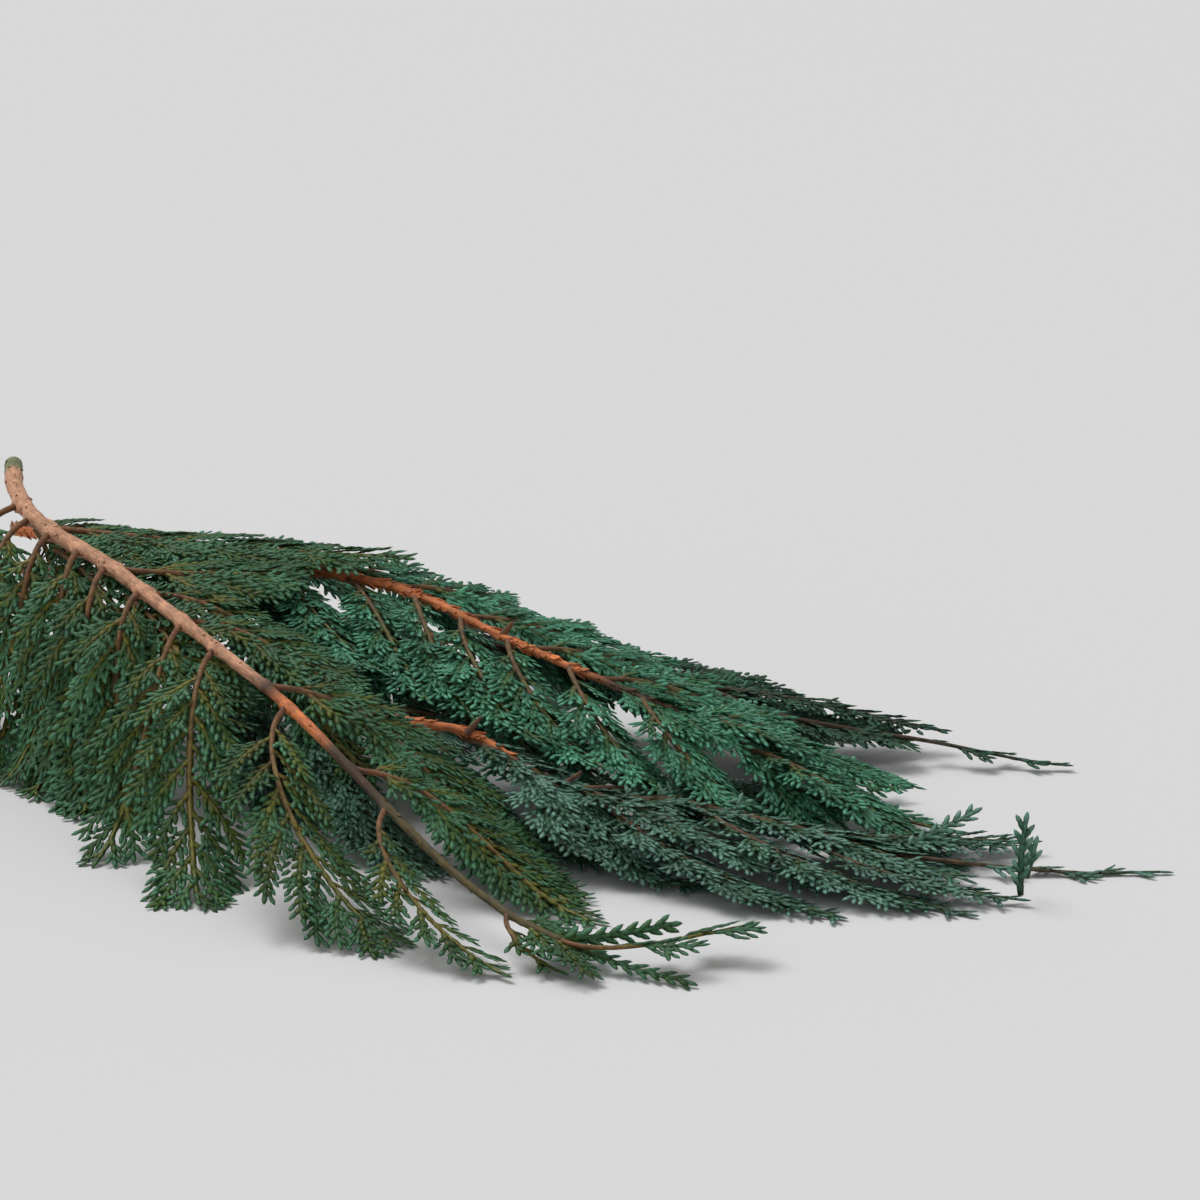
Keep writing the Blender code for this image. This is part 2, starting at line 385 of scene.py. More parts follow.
# Bark colours along each stem, in millimetres from the cut end
STUB_GREY = srgb(140, 145, 105)
SALMON = srgb(226, 168, 132)
ORANGE = srgb(232, 138, 82)
RED_BROWN = srgb(176, 96, 58)
DARK = srgb(84, 62, 46)
OLIVE = srgb(104, 92, 56)
PALE = srgb(214, 190, 160)
BARK = {
    "front": (
        (0, STUB_GREY), (8, STUB_GREY), (12, SALMON), (150, SALMON), (178, SALMON),
        (186, DARK), (196, ORANGE), (214, ORANGE), (222, DARK), (240, DARK),
        (252, OLIVE), (320, OLIVE),
    ),
    "rear": ((0, PALE), (3, ORANGE), (215, ORANGE), (232, DARK), (320, DARK)),
    "middle": ((0, PALE), (3, RED_BROWN), (215, ORANGE), (228, OLIVE), (330, DARK)),
    "back": ((0, PALE), (3, RED_BROWN), (150, RED_BROWN), (200, DARK), (300, DARK)),
}


def add_object(name, mesh):
    made = bpy.data.objects.new(name, mesh)
    bpy.context.scene.collection.objects.link(made)
    return made


def smooth_path(points, step):
    """Evenly spaced points on a smooth curve through the given ones."""
    points = [Vector(p) for p in points]
    ends = [2 * points[0] - points[1], *points, 2 * points[-1] - points[-2]]
    fine = []
    for i in range(1, len(ends) - 2):
        before, start, stop, after = ends[i - 1 : i + 3]
        for k in range(CURVE_PIECES):
            t = k / CURVE_PIECES
            curve = 2 * start + (stop - before) * t
            curve += (2 * before - 5 * start + 4 * stop - after) * t**2
            curve += (3 * start - before - 3 * stop + after) * t**3
            fine.append(0.5 * curve)
    fine.append(points[-1])
    lengths = [0.0]
    for a, b in zip(fine, fine[1:]):
        lengths.append(lengths[-1] + (b - a).length)
    count = max(2, round(lengths[-1] / step) + 1)
    return [point_at(fine, lengths, lengths[-1] * i / (count - 1)) for i in range(count)]


def path_length(points):
    return sum((b - a).length for a, b in zip(points, points[1:]))


def point_at(points, lengths, distance):
    for i in range(1, len(points)):
        if lengths[i] >= distance or i == len(points) - 1:
            share = (distance - lengths[i - 1]) / (lengths[i] - lengths[i - 1])
            return points[i - 1].lerp(points[i], min(max(share, 0.0), 1.0))


class Stem:
    """A branch's centre line and its thickness along it."""

    def __init__(self, branch):
        self.branch = branch
        self.points = smooth_path(branch.route, STEM_STEP)
        self.length = path_length(self.points)

    def spot(self, along):
        """The point this far along the stem, and the direction there."""
        place = min(along, self.length) / self.length * (len(self.points) - 1)
        i = min(int(place), len(self.points) - 2)
        step = self.points[i + 1] - self.points[i]
        return self.points[i] + step * (place - i), step.normalized()

    def radius(self, along):
        base, tip = self.branch.base_radius, self.branch.tip_radius
        return base + (tip - base) * min(along / self.length, 1.0)

    def bark_radius(self, along):
        """The real stem's: slimmer at the base than the solid, and thinning faster."""
        base, tip = self.branch.base_radius * BASE_SLIM, self.branch.tip_radius
        return tip + (base - tip) * max(0.0, 1 - along / self.length) ** THINNING_POWER


def bezier(a, b, c, d, t):
    u = 1 - t
    return a * u**3 + b * 3 * t * u**2 + c * 3 * t**2 * u + d * t**3


def spray_line(stem, spray, side):
    """The side branch of a spray: out of the stem at an angle, then drooping to its tip."""
    spot, forward = stem.spot(spray.along)
    across = forward.cross(UP).normalized() * side
    if side == TIP:
        leave = forward
        start = spot + leave * SPRAY_GAP
    else:
        leave = forward * math.cos(LEAVING_ANGLE) + across * math.sin(LEAVING_ANGLE)
        clear = stem.radius(spray.along) + SPRAY_GAP + SPRAY_NECK * math.cos(LEAVING_ANGLE)
        start = spot + leave * clear / math.sin(LEAVING_ANGLE)
    tip = Vector(spray.tip)
    reach = (tip - start).length
    rise = leave.copy()
    rise.z *= LEAVING_SLOPE
    first = start + rise * reach * TIP_FLATTEN
    settle = tip - first
    settle.z *= TIP_SLOPE
    second = tip - settle.normalized() * reach * TIP_FLATTEN
    return start, first, second, tip


def lower_line(stem, spray, side, line):
    """A fork of a side branch, which droops below it and ends further forward."""
    start, ahead, _ = spray_frame(line, FORK_AT, spray, side)
    _, forward = stem.spot(spray.along)
    tip = Vector(spray.tip) + forward * LOWER_SHIFT
    tip.z = max(min(tip.z, spray.tip[2] * LOWER_HEIGHT), REST_HEIGHT)
    reach = (tip - start).length
    droop = Vector((tip.x - start.x, tip.y - start.y, 0.0)).normalized()
    first = start + ahead * reach * TIP_FLATTEN
    return start, first, tip - droop * reach * TIP_FLATTEN, tip


def fill_line(start, tip):
    """A side branch that leaves level and droops in its last third."""
    start, tip = Vector(start), Vector(tip)
    lift = Vector((0.0, 0.0, (start.z - tip.z) / 3))
    return start, start.lerp(tip, 1 / 3) + lift, start.lerp(tip, 2 / 3), tip


def spray_outline(t):
    """Half the spray's width at t from stem to tip, as a share of the widest."""
    swell = min(1.0, t / WIDEST_AT) ** SWELL_POWER
    late = max(0.0, (t - TAPER_FROM) / (1 - TAPER_FROM))
    return swell * math.sqrt(max(0.0, 1 - late**TAPER_POWER))


def spray_frame(line, t, spray, side):
    """The point, direction and upper side of a spray's plane at t, as its solid has them."""
    centre = bezier(*line, t)
    ahead = bezier(*line, min(t + DIRECTION_STEP, 1.0)) - bezier(*line, t - DIRECTION_STEP)
    ahead.normalize()
    level = Vector((ahead.y, -ahead.x, 0.0)).normalized()
    fade = 1 - t**3 if spray.tip[2] < ON_TABLE else 1.0
    tilt = SPRAY_SHINGLE * spray.shingle * fade
    across = (level * math.cos(tilt) + UP * math.sin(tilt) * side).normalized()
    normal = ahead.cross(across).normalized()
    normal = -normal if normal.z < 0 else normal
    centre.z = max(centre.z, REST_HEIGHT)
    return centre, ahead, normal


# What the node tree reads at each point, after its place
POINT_DATA = (
    ("normal", "FLOAT_VECTOR"), ("width", "FLOAT"), ("age", "FLOAT"), ("tint", "FLOAT"),
    ("woody", "BOOLEAN"),
)


class Skeleton:
    """The centre lines of one spray's twigs."""

    def __init__(self, seed):
        self.vary = random.Random(seed).uniform
        self.points = []
        self.edges = []

    def line(self, points, normals, width, age, tint=0.0, woody=False):
        """A twig: its width and age are pairs, for its root and its end."""
        first, last = len(self.points), len(points) - 1
        for i, (point, normal) in enumerate(zip(points, normals)):
            share = i / last
            wide = (width[0] + (width[1] - width[0]) * share) * MM
            old = age[0] + (age[1] - age[0]) * share
            self.points.append((point * MM, normal, wide, old, tint, woody))
        self.edges += [(first + i, first + i + 1) for i in range(last)]

    def mesh(self, name):
        mesh = bpy.data.meshes.new(name)
        places, *columns = zip(*self.points)
        mesh.from_pydata(places, self.edges, [])
        for (key, kind), values in zip(POINT_DATA, columns):
            data = mesh.attributes.new(key, kind, "POINT").data
            flat = np.array(values, bool if kind == "BOOLEAN" else np.float32).ravel()
            data.foreach_set("vector" if kind == "FLOAT_VECTOR" else "value", flat)
        return mesh


def march(start, heading, normal, length, turn, sag):
    """A twig's centre line, which turns in its own plane, sags and stays on the table."""
    count = max(2, round(length / MARCH_STEP))
    step = length / count
    points, normals = [start.copy()], [normal.copy()]
    heading = heading.normalized()
    for _ in range(count):
        heading = turned(heading, turn / count, normal)
        heading.z -= sag * step
        heading.normalize()
        point = points[-1] + heading * step
        if point.z < REST_HEIGHT:
            point.z = REST_HEIGHT
            heading.z = max(heading.z, 0.0)
        normal = (normal - heading * normal.dot(heading)).normalized()
        points.append(point)
        normals.append(normal)
    return points, normals


def turned(vector, angle, axis):
    return Matrix.Rotation(angle, 3, axis) @ vector


def heading_at(points, i):
    a, b = points[max(i - 1, 0)], points[min(i + 1, len(points) - 1)]
    return (b - a).normalized()


def place_on(points, normals, length, along):
    """The point this far along a marched line, the direction and the plane there."""
    steps = len(points) - 1
    place = along / length * steps
    i = min(int(place), steps - 1)
    return points[i].lerp(points[i + 1], place - i), heading_at(points, i), normals[i]


def fork_twig(skeleton, points, normals, length, hand, tint, sag):
    """Short twigs on a long one, first on its outer side."""
    vary = skeleton.vary
    side, along = -hand, FORK_GAP * FIRST_FORK
    while along < length - LAST_FORK:
        spot, ahead, plane = place_on(points, normals, length, along)
        reach = FORK_LENGTH * vary(*FORK_LENGTH_VARIES) * (1.0 - FORK_TAPER * along / length)
        away = turned(ahead, side * TWIG_ANGLE * vary(*FORK_ANGLE_VARIES), plane)
        twig, planes = march(spot, away, plane, reach, -side * TWIG_TURN, sag)
        skeleton.line(twig, planes, TWIG_WIDTH, FORK_AGE, tint)
        side = -side
        along += FORK_GAP / 2


def twig_share(share):
    """How long a twig is at this share of its plume, against the longest."""
    if share < LONGEST_TWIG_AT:
        return FIRST_TWIG_SHARE + TWIG_SWELL * share
    return 1.0 - TWIG_TAPER * (share - LONGEST_TWIG_AT) / (1 - LONGEST_TWIG_AT)


def grow_plume(skeleton, plume):
    """One narrow plume: an axis with short twigs to both sides, like a feather."""
    vary = skeleton.vary
    length, tint = plume.length, plume.tint
    points, normals = march(
        plume.start, plume.heading, plume.normal, length, -plume.hand * PLUME_TURN, plume.sag
    )
    skeleton.line(points, normals, PLUME_WIDTH, (plume.age, PLUME_END_AGE), tint)
    along = TWIG_GAP * vary(*FIRST_TWIG_VARIES)
    side = plume.hand
    while along < length - LAST_TWIG:
        spot, ahead, plane = place_on(points, normals, length, along)
        shape = twig_share(along / length)
        shape *= min(1.0, SHORT_PLUME_SHARE + length / LONG_PLUME) * plume.fullness
        reach = TWIG_LENGTH * shape * vary(*TWIG_LENGTH_VARIES)
        if reach > SHORTEST_TWIG:
            away = turned(ahead, side * TWIG_ANGLE * vary(*TWIG_ANGLE_VARIES), plane)
            twig, planes = march(spot, away, plane, reach, -side * TWIG_TURN, plume.sag)
            skeleton.line(twig, planes, TWIG_WIDTH, (plume.age * TWIG_AGE_SHARE, 0.0), tint)
            if reach > FORK_FROM:
                fork_twig(skeleton, twig, planes, reach, side, tint, plume.sag)
        side = -side
        along += TWIG_GAP / 2 * vary(*TWIG_GAP_VARIES)


def is_open(stem, spray, side):
    """Whether a spray has its plumes wide apart, as the front branch's outer ones do."""
    return side == TIP or (stem.branch is FRONT and side == NEAR and spray.along > OPEN_FROM)


def plume_length(spray, t, whole):
    """How far a plume that starts at t has to grow to reach the spray's outline."""
    half = spray.half_width
    for _ in range(2):
        reach = max(min(t + half * REACH_SHARE / whole, REACH_LIMIT), FULL_FROM)
        full = spray.half_width * SPREAD - SPRAY_NECK
        half = max(SPRAY_NECK + full * spray_outline(reach), NARROWEST)
    return max(half - TWIG_REACH, SHORTEST_PLUME) / math.sin(PLUME_REACH_ANGLE)


def grow_lateral(skeleton, stem, spray, side, line, root, bare):
    """One side branch along a curve, and the plumes to both sides of it."""
    vary = skeleton.vary
    whole = path_length([bezier(*line, i / LENGTH_PARTS) for i in range(LENGTH_PARTS + 1)])
    steps = max(FEWEST_STEPS, round(whole / LATERAL_STEP))
    shares = [max(i / steps, FIRST_STEP) for i in range(steps + 1)]
    axis, _, planes = zip(*(spray_frame(line, t, spray, side) for t in shares))
    scale = stem.radius(spray.along) / FRONT.base_radius
    stout = WOOD_RADIUS[0] * (THIN_STEM_SHARE + (1 - THIN_STEM_SHARE) * scale)
    wood = (stout, WOOD_RADIUS[1])
    skeleton.line([root, *axis], [planes[0], *planes], wood, WOOD_AGE, woody=True)
    leafy = int(steps * LEAFY_FROM)
    skeleton.line(axis[leafy:], planes[leafy:], LATERAL_WIDTH, LATERAL_AGE)
    fullness = OPEN_FULLNESS if is_open(stem, spray, side) else 1.0
    gap = PLUME_GAP * (TIP_GAP if side == TIP else 1.0) / fullness
    lean = PLUME_ANGLE * (TIP_LEAN if side == TIP else 1.0)
    oldest = TIP_PLUME_AGE if side == TIP else PLUME_AGE
    along = whole * bare + PLUME_GAP * vary(*FIRST_GAP_VARIES)
    hand = 1
    while along < whole - LAST_PLUME:
        t = along / whole
        start, ahead, plane = spray_frame(line, t, spray, side)
        room = (whole - along) * ROOM_SHARE + ROOM_AT_TIP
        length = min(plume_length(spray, t, whole), room) * vary(*PLUME_LENGTH_VARIES)
        away = turned(ahead, hand * lean * vary(*PLUME_ANGLE_VARIES), plane)
        twist = -hand * PLUME_TWIST * vary(*PLUME_TWIST_VARIES)
        tint = vary(-1.0, 1.0)
        sag = PLUME_SAG * vary(*PLUME_SAG_VARIES)
        age = oldest - PLUME_AGE_FALL * t
        plane = turned(plane, twist, away)
        plume = Plume(start, away, plane, length, hand, tint, age, sag, fullness)
        grow_plume(skeleton, plume)
        hand = -hand
        along += gap / 2 * vary(*PLUME_GAP_VARIES)


def grow_stem_end(skeleton, stem):
    """Plumes straight on the last stretch of the stem."""
    vary = skeleton.vary
    along, hand = stem.length * END_FROM[stem.branch.name], 1
    while along < stem.length:
        spot, ahead = stem.spot(along)
        plane = (UP - ahead * UP.dot(ahead)).normalized()
        away = turned(ahead, hand * END_ANGLE * vary(*END_ANGLE_VARIES), plane)
        plane = turned(plane, vary(-END_ROLL, END_ROLL), away)
        length = vary(*END_LENGTH)
        tint = vary(-1.0, 1.0)
        plume = Plume(spot, away, plane, length, hand, tint, END_AGE, PLUME_SAG, 1.0)
        grow_plume(skeleton, plume)
        hand = -hand
        along += END_GAP * vary(*END_GAP_VARIES)


def grow_sprig(skeleton, route):
    """A single plume along listed points, such as one that stands up."""
    vary = skeleton.vary
    points = smooth_path(route, LATERAL_STEP)
    normal = Vector((1.0, 0.0, 0.0)).cross(points[-1] - points[0]).normalized()
    skeleton.line(points, [normal] * len(points), PLUME_WIDTH, SPRIG_AGE)
    hand = 1
    for i in range(1, len(points) - 1):
        away = turned(heading_at(points, i), hand * TWIG_ANGLE, normal)
        reach = SPRIG_TWIG * vary(*SPRIG_TWIG_VARIES)
        twig, planes = march(points[i], away, normal, reach, -hand * TWIG_TURN, 0.0)
        skeleton.line(twig, planes, TWIG_WIDTH, SPRIG_TWIG_AGE, SPRIG_TINT)
        hand = -hand


def grow_spray(stem, spray, side, seed):
    """All twigs of a spray: its side branch, what was listed for it and a lower fork."""
    skeleton = Skeleton(seed)
    line = spray_line(stem, spray, side)
    root, _ = stem.spot(spray.along)
    key = (stem.branch.name, side, spray.along)
    opened = is_open(stem, spray, side)
    if side == TIP:
        bare, width = TIP_BARE, TIP_WIDTH
    else:
        bare = BARE_SHARE if stem.branch is FRONT and side == NEAR else 0.0
        width = OPEN_WIDTH if opened else 1.0
    sized = spray._replace(half_width=spray.half_width * width)
    grow_lateral(skeleton, stem, sized, side, line, root, bare)
    for route in SPRIGS.get(key, ()):
        grow_sprig(skeleton, route)
    if key in STUBS:
        ends = [Vector(end) for end in STUBS[key]]
        skeleton.line(ends, [UP, UP], STUB_RADIUS, STUB_AGE, woody=True)
    for start, tip, half_width, shingle in FILLS.get(key, ()):
        curve = fill_line(start, tip)
        extra = spray._replace(half_width=half_width, shingle=shingle)
        leaning = NEAR if side == TIP else side
        grow_lateral(skeleton, stem, extra, leaning, curve, curve[0], 0.0)
    if side == TIP:
        grow_stem_end(skeleton, stem)
    forks = not opened and stem.branch is not BACK
    if forks and spray.along < FORKS_UNTIL * stem.length:
        curve = lower_line(stem, spray, side, line)
        lower = spray._replace(half_width=spray.half_width * LOWER_WIDTH)
        grow_lateral(skeleton, stem, lower, side, curve, curve[0], LOWER_BARE)
    return skeleton


def scale_leaf_mesh():
    """One pair of side leaves and the flat leaf between them, one unit long and wide.

    It lies along X with its upper side to Z. Its tips reach over the next pair. Its
    groove attribute is painted shade: 1 in the hollows, where the leaves are darkened
    most. Each side has half of the texture map.
    """
    first, last = LEAF_SPAN
    rim = [(first, 0.78, 0.0), (0.62, 1.0, 0.03), (1.04, 0.58, 0.06), (last, 0.0, 0.12)]
    rim += [(x, -y, z) for x, y, z in rim[-2::-1]]
    ridge_line = [(0.08, 0.0, 0.34), (0.78, 0.0, 0.42)]
    keel_point = (0.45, 0.0, -0.36)
    # Painted shade: how much each point is darkened, 1 in the hollows between the leaves
    groove_shades = [1.0, 0.15, 0.35, 0.0, 0.35, 0.15, 1.0, 0.7, 0.0, 0.6]
    base, ridge, keel = 7, 8, 9
    upper = [
        (6, 0, base), (0, 1, base), (1, ridge, base), (1, 2, ridge), (2, 3, ridge),
        (3, 4, ridge), (4, 5, ridge), (5, base, ridge), (5, 6, base),
    ]
    lower = [((i + 1) % len(rim), i, keel) for i in range(len(rim))]
    mesh = bpy.data.meshes.new("scale leaf")
    mesh.from_pydata([*rim, *ridge_line, keel_point], [], upper + lower)
    mesh.shade_smooth()
    mesh.attributes.new("groove", "FLOAT", "POINT").data.foreach_set("value", groove_shades)
    work = bmesh.new()
    work.from_mesh(mesh)
    bmesh.ops.recalc_face_normals(work, faces=work.faces)
    layer = work.loops.layers.uv.new(MAP_NAME)
    for number, face in enumerate(work.faces):
        middle = 0.25 if number < len(upper) else 0.75
        for loop in face.loops:
            x, y, _ = loop.vert.co
            loop[layer].uv = (middle + 0.23 * y, 0.04 + 0.92 * (x - first) / (last - first))
    work.to_mesh(mesh)
    work.free()
    return mesh


def flake_mesh():
    """A curled flake of bark, one unit long, lying along X with its outside to Z."""
    top = [
        (-0.5, -0.22, 0.0), (-0.5, 0.22, 0.0), (0.1, 0.3, 0.12), (0.1, -0.3, 0.12),
        (0.55, 0.05, 0.34),
    ]
    low = [(x, y, z - 0.1) for x, y, z in top]
    faces = [(1, 2, 3, 0), (2, 4, 3), (8, 7, 6, 5), (9, 7, 8)]
    faces += [(5, 6, 1, 0), (6, 7, 2, 1), (7, 9, 4, 2), (9, 8, 3, 4), (8, 5, 0, 3)]
    mesh = bpy.data.meshes.new("bark flake")
    mesh.from_pydata([*top, *low], [], faces)
    return mesh


def wire(tree, socket, value):
    if isinstance(value, bpy.types.NodeSocket):
        tree.links.new(value, socket)
    else:
        socket.default_value = value


def add(tree, kind, inputs=None, **settings):
    """A node of this kind, with its settings, and its inputs as values or linked sockets."""
    node = tree.nodes.new(kind)
    for name, value in settings.items():
        setattr(node, name, value)
    for name, value in (inputs or {}).items():
        wire(tree, node.inputs[name], value)
    return node


def maths(tree, operation, one, other):
    return add(tree, "ShaderNodeMath", {0: one, 1: other}, operation=operation).outputs[0]


def named(tree, name, kind="FLOAT"):
    """A geometry attribute of this name."""
    node = add(tree, "GeometryNodeInputNamedAttribute", {"Name": name}, data_type=kind)
    return next(s for s in node.outputs if s.enabled and s.name == "Attribute")


def random_value(tree, kind, low, high, seed):
    node = add(tree, "FunctionNodeRandomValue", {"Seed": seed}, data_type=kind)
    bounds = [s for s in node.inputs if s.enabled and s.name in ("Min", "Max")]
    for socket, value in zip(bounds, (low, high)):
        wire(tree, socket, value)
    return next(s for s in node.outputs if s.enabled)


def new_tree(name, inputs):
    """An empty geometry tree with these named inputs, and its input sockets."""
    tree = bpy.data.node_groups.new(name, "GeometryNodeTree")
    sockets = tree.interface
    sockets.new_socket("Geometry", in_out="INPUT", socket_type="NodeSocketGeometry")
    for label, kind, value in inputs:
        socket = sockets.new_socket(label, in_out="INPUT", socket_type=f"NodeSocket{kind}")
        if value is not None:
            socket.default_value = value
    sockets.new_socket("Geometry", in_out="OUTPUT", socket_type="NodeSocketGeometry")
    return tree, add(tree, "NodeGroupInput").outputs


def painted(tree, geometry, material):
    inputs = {"Geometry": geometry, "Material": material}
    return add(tree, "GeometryNodeSetMaterial", inputs).outputs[0]


def joined(tree, one, other):
    node = add(tree, "GeometryNodeJoinGeometry")
    tree.links.new(one, node.inputs[0])
    tree.links.new(other, node.inputs[0])
    return node.outputs[0]


def cedar_spray_tree():
    """Clothes centre lines: bark tubes on the woody ones, scale leaves on the others."""
    tree, given = new_tree("Cedar spray", (
        ("Scale leaf", "Object", None), ("Leaf pitch", "Float", LEAF_PITCH),
        ("Leaf overlap", "Float", LEAF_OVERLAP), ("Leaf jitter", "Float", LEAF_JITTER),
        ("Leaf thickness", "Float", LEAF_THICKNESS), ("Bark sides", "Int", BARK_SIDES),
        ("Seed", "Int", 0), ("Foliage", "Material", None), ("Bark", "Material", None),
    ))
    result = add(tree, "NodeGroupOutput")
    split = add(
        tree, "GeometryNodeSeparateGeometry",
        {"Geometry": given["Geometry"], "Selection": named(tree, "woody", "BOOLEAN")},
        domain="EDGE",
    )
    width = named(tree, "width")

    lines = add(tree, "GeometryNodeMeshToCurve", {"Mesh": split.outputs["Inverted"]})
    pitch = maths(tree, "MULTIPLY", width, given["Leaf pitch"])
    spots = add(
        tree, "GeometryNodeResampleCurve",
        {"Curve": lines.outputs["Curve"], "Length": pitch}, mode="LENGTH",
    )
    facing = add(
        tree, "FunctionNodeAxesToRotation",
        {"Primary Axis": add(tree, "GeometryNodeInputTangent").outputs["Tangent"],
         "Secondary Axis": named(tree, "normal", "FLOAT_VECTOR")},
        primary_axis="X", secondary_axis="Z",
    )
    least = maths(tree, "MULTIPLY", given["Leaf jitter"], -1.0)
    wobble = random_value(tree, "FLOAT_VECTOR", least, given["Leaf jitter"], given["Seed"])
    shake = add(tree, "FunctionNodeEulerToRotation", {"Euler": wobble})
    rotation = add(
        tree, "FunctionNodeRotateRotation",
        {"Rotation": facing.outputs[0], "Rotate By": shake.outputs[0]},
        rotation_space="LOCAL",
    )
    size = add(
        tree, "ShaderNodeCombineXYZ",
        {"X": maths(tree, "MULTIPLY", pitch, given["Leaf overlap"]), "Y": width,
         "Z": maths(tree, "MULTIPLY", width, given["Leaf thickness"])},
    )
    leaf = add(tree, "GeometryNodeObjectInfo", {"Object": given["Scale leaf"]})
    leaves = add(
        tree, "GeometryNodeInstanceOnPoints",
        {"Points": spots.outputs["Curve"], "Instance": leaf.outputs["Geometry"],
         "Rotation": rotation.outputs[0], "Scale": size.outputs[0]},
    )
    real = add(tree, "GeometryNodeRealizeInstances", {"Geometry": leaves.outputs[0]})
    green = painted(tree, real.outputs[0], given["Foliage"])

    bare = add(tree, "GeometryNodeMeshToCurve", {"Mesh": split.outputs["Selection"]})
    ring = add(
        tree, "GeometryNodeCurvePrimitiveCircle",
        {"Resolution": given["Bark sides"], "Radius": 1.0},
    )
    tube = add(
        tree, "GeometryNodeCurveToMesh",
        {"Curve": bare.outputs[0], "Profile Curve": ring.outputs["Curve"],
         "Scale": width, "Fill Caps": True},
    )
    smooth = add(tree, "GeometryNodeSetShadeSmooth", {"Geometry": tube.outputs[0]})
    brown = painted(tree, smooth.outputs[0], given["Bark"])
    tree.links.new(joined(tree, brown, green), result.inputs["Geometry"])
    return tree


def bark_flake_tree():
    """Scatters lifted flakes over a stem, each along the grain."""
    tree, given = new_tree("Bark flakes", (
        ("Flake", "Object", None), ("Density", "Float", None), ("Shortest", "Float", None),
        ("Longest", "Float", None), ("Seed", "Int", 0), ("Bark", "Material", None),
    ))
    result = add(tree, "NodeGroupOutput")
    spots = add(
        tree, "GeometryNodeDistributePointsOnFaces",
        {"Mesh": given["Geometry"], "Density": given["Density"], "Seed": given["Seed"]},
    )
    facing = add(
        tree, "FunctionNodeAxesToRotation",
        {"Primary Axis": spots.outputs["Normal"],
         "Secondary Axis": named(tree, "ahead", "FLOAT_VECTOR")},
        primary_axis="Z", secondary_axis="X",
    )
    size = random_value(tree, "FLOAT", given["Shortest"], given["Longest"], given["Seed"])
    flake = add(tree, "GeometryNodeObjectInfo", {"Object": given["Flake"]})
    flakes = add(
        tree, "GeometryNodeInstanceOnPoints",
        {"Points": spots.outputs["Points"], "Instance": flake.outputs["Geometry"],
         "Rotation": facing.outputs[0], "Scale": size},
    )
    both = joined(tree, flakes.outputs[0], given["Geometry"])
    real = add(tree, "GeometryNodeRealizeInstances", {"Geometry": both})
    done = painted(tree, real.outputs[0], given["Bark"])
    tree.links.new(done, result.inputs["Geometry"])
    return tree


def run_tree(obj, tree, inputs):
    """Puts a node tree on an object, gives it its inputs and makes the result its mesh."""
    modifier = obj.modifiers.new(tree.name, "NODES")
    modifier.node_group = tree
    for item in tree.interface.items_tree:
        if item.in_out == "INPUT" and item.name in inputs:
            modifier[item.identifier] = inputs[item.name]
    graph = bpy.context.evaluated_depsgraph_get()
    made = bpy.data.meshes.new_from_object(
        obj.evaluated_get(graph), preserve_all_data_layers=True, depsgraph=graph
    )
    obj.modifiers.remove(modifier)
    before, obj.data = obj.data, made
    bpy.data.meshes.remove(before)
    made.name = obj.name


def rest_on_table(mesh):
    """Presses what would reach below the table flat on it."""
    places = np.empty(len(mesh.vertices) * 3, np.float32)
    mesh.vertices.foreach_get("co", places)
    places[2::3] = np.maximum(places[2::3], LOWEST * MM)
    mesh.vertices.foreach_set("co", places)
    mesh.update()


def lay_out_map(mesh, foliage, leaf_faces):
    """Gives each leaf and each face of bark a square of its own in the texture map."""
    loops, faces = len(mesh.loops), len(mesh.polygons)
    uv = np.zeros(loops * 2, np.float32)
    layer = mesh.uv_layers[MAP_NAME]
    layer.uv.foreach_get("vector", uv)
    uv = uv.reshape(-1, 2)
    totals, slots = np.empty(faces, np.int32), np.empty(faces, np.int32)
    mesh.polygons.foreach_get("loop_total", totals)
    mesh.polygons.foreach_get("material_index", slots)
    green = slots == mesh.materials.find(foliage.name)
    square = np.empty(faces, np.int64)
    square[green] = np.arange(green.sum()) // leaf_faces
    square[~green] = green.sum() // leaf_faces + np.arange((~green).sum())
    corner = np.arange(loops) - np.repeat(np.cumsum(totals) - totals, totals)
    angle = 2 * np.pi * (corner + 0.5) / np.repeat(totals, totals)
    bark = np.repeat(~green, totals)
    uv[bark] = (np.stack([np.cos(angle), np.sin(angle)], 1) * 0.48 + 0.5)[bark]
    side = math.ceil(math.sqrt(square.max() + 1))
    square = np.repeat(square, totals)
    uv = (uv + np.stack([square % side, square // side], 1)) / side
    layer.uv.foreach_set("vector", uv.astype(np.float32).ravel())


def new_material(name):
    made = bpy.data.materials.new(name)
    made.use_nodes = True
    return made, made.node_tree, made.node_tree.nodes["Principled BSDF"]


def attribute(tree, name, output="Fac"):
    return add(tree, "ShaderNodeAttribute", attribute_name=name).outputs[output]


def noise_at(tree, place, size, detail=2.0, rough=0.5):
    """Noise whose patches are about this many millimetres wide."""
    return add(
        tree, "ShaderNodeTexNoise",
        {"Vector": place, "Scale": 1 / (size * MM), "Detail": detail, "Roughness": rough},
    ).outputs["Fac"]


def spread(tree, value, taken, given):
    """A value moved from one range to another."""
    return add(
        tree, "ShaderNodeMapRange",
        {"Value": value, "From Min": taken[0], "From Max": taken[1], "To Min": given[0],
         "To Max": given[1]},
    ).outputs[0]


def mixed(tree, kind, factor, one, other):
    """Two colours mixed in this way."""
    node = add(tree, "ShaderNodeMix", data_type="RGBA", blend_type=kind)
    wire(tree, node.inputs[0], factor)
    wire(tree, node.inputs[6], one)
    wire(tree, node.inputs[7], other)
    return node.outputs[2]


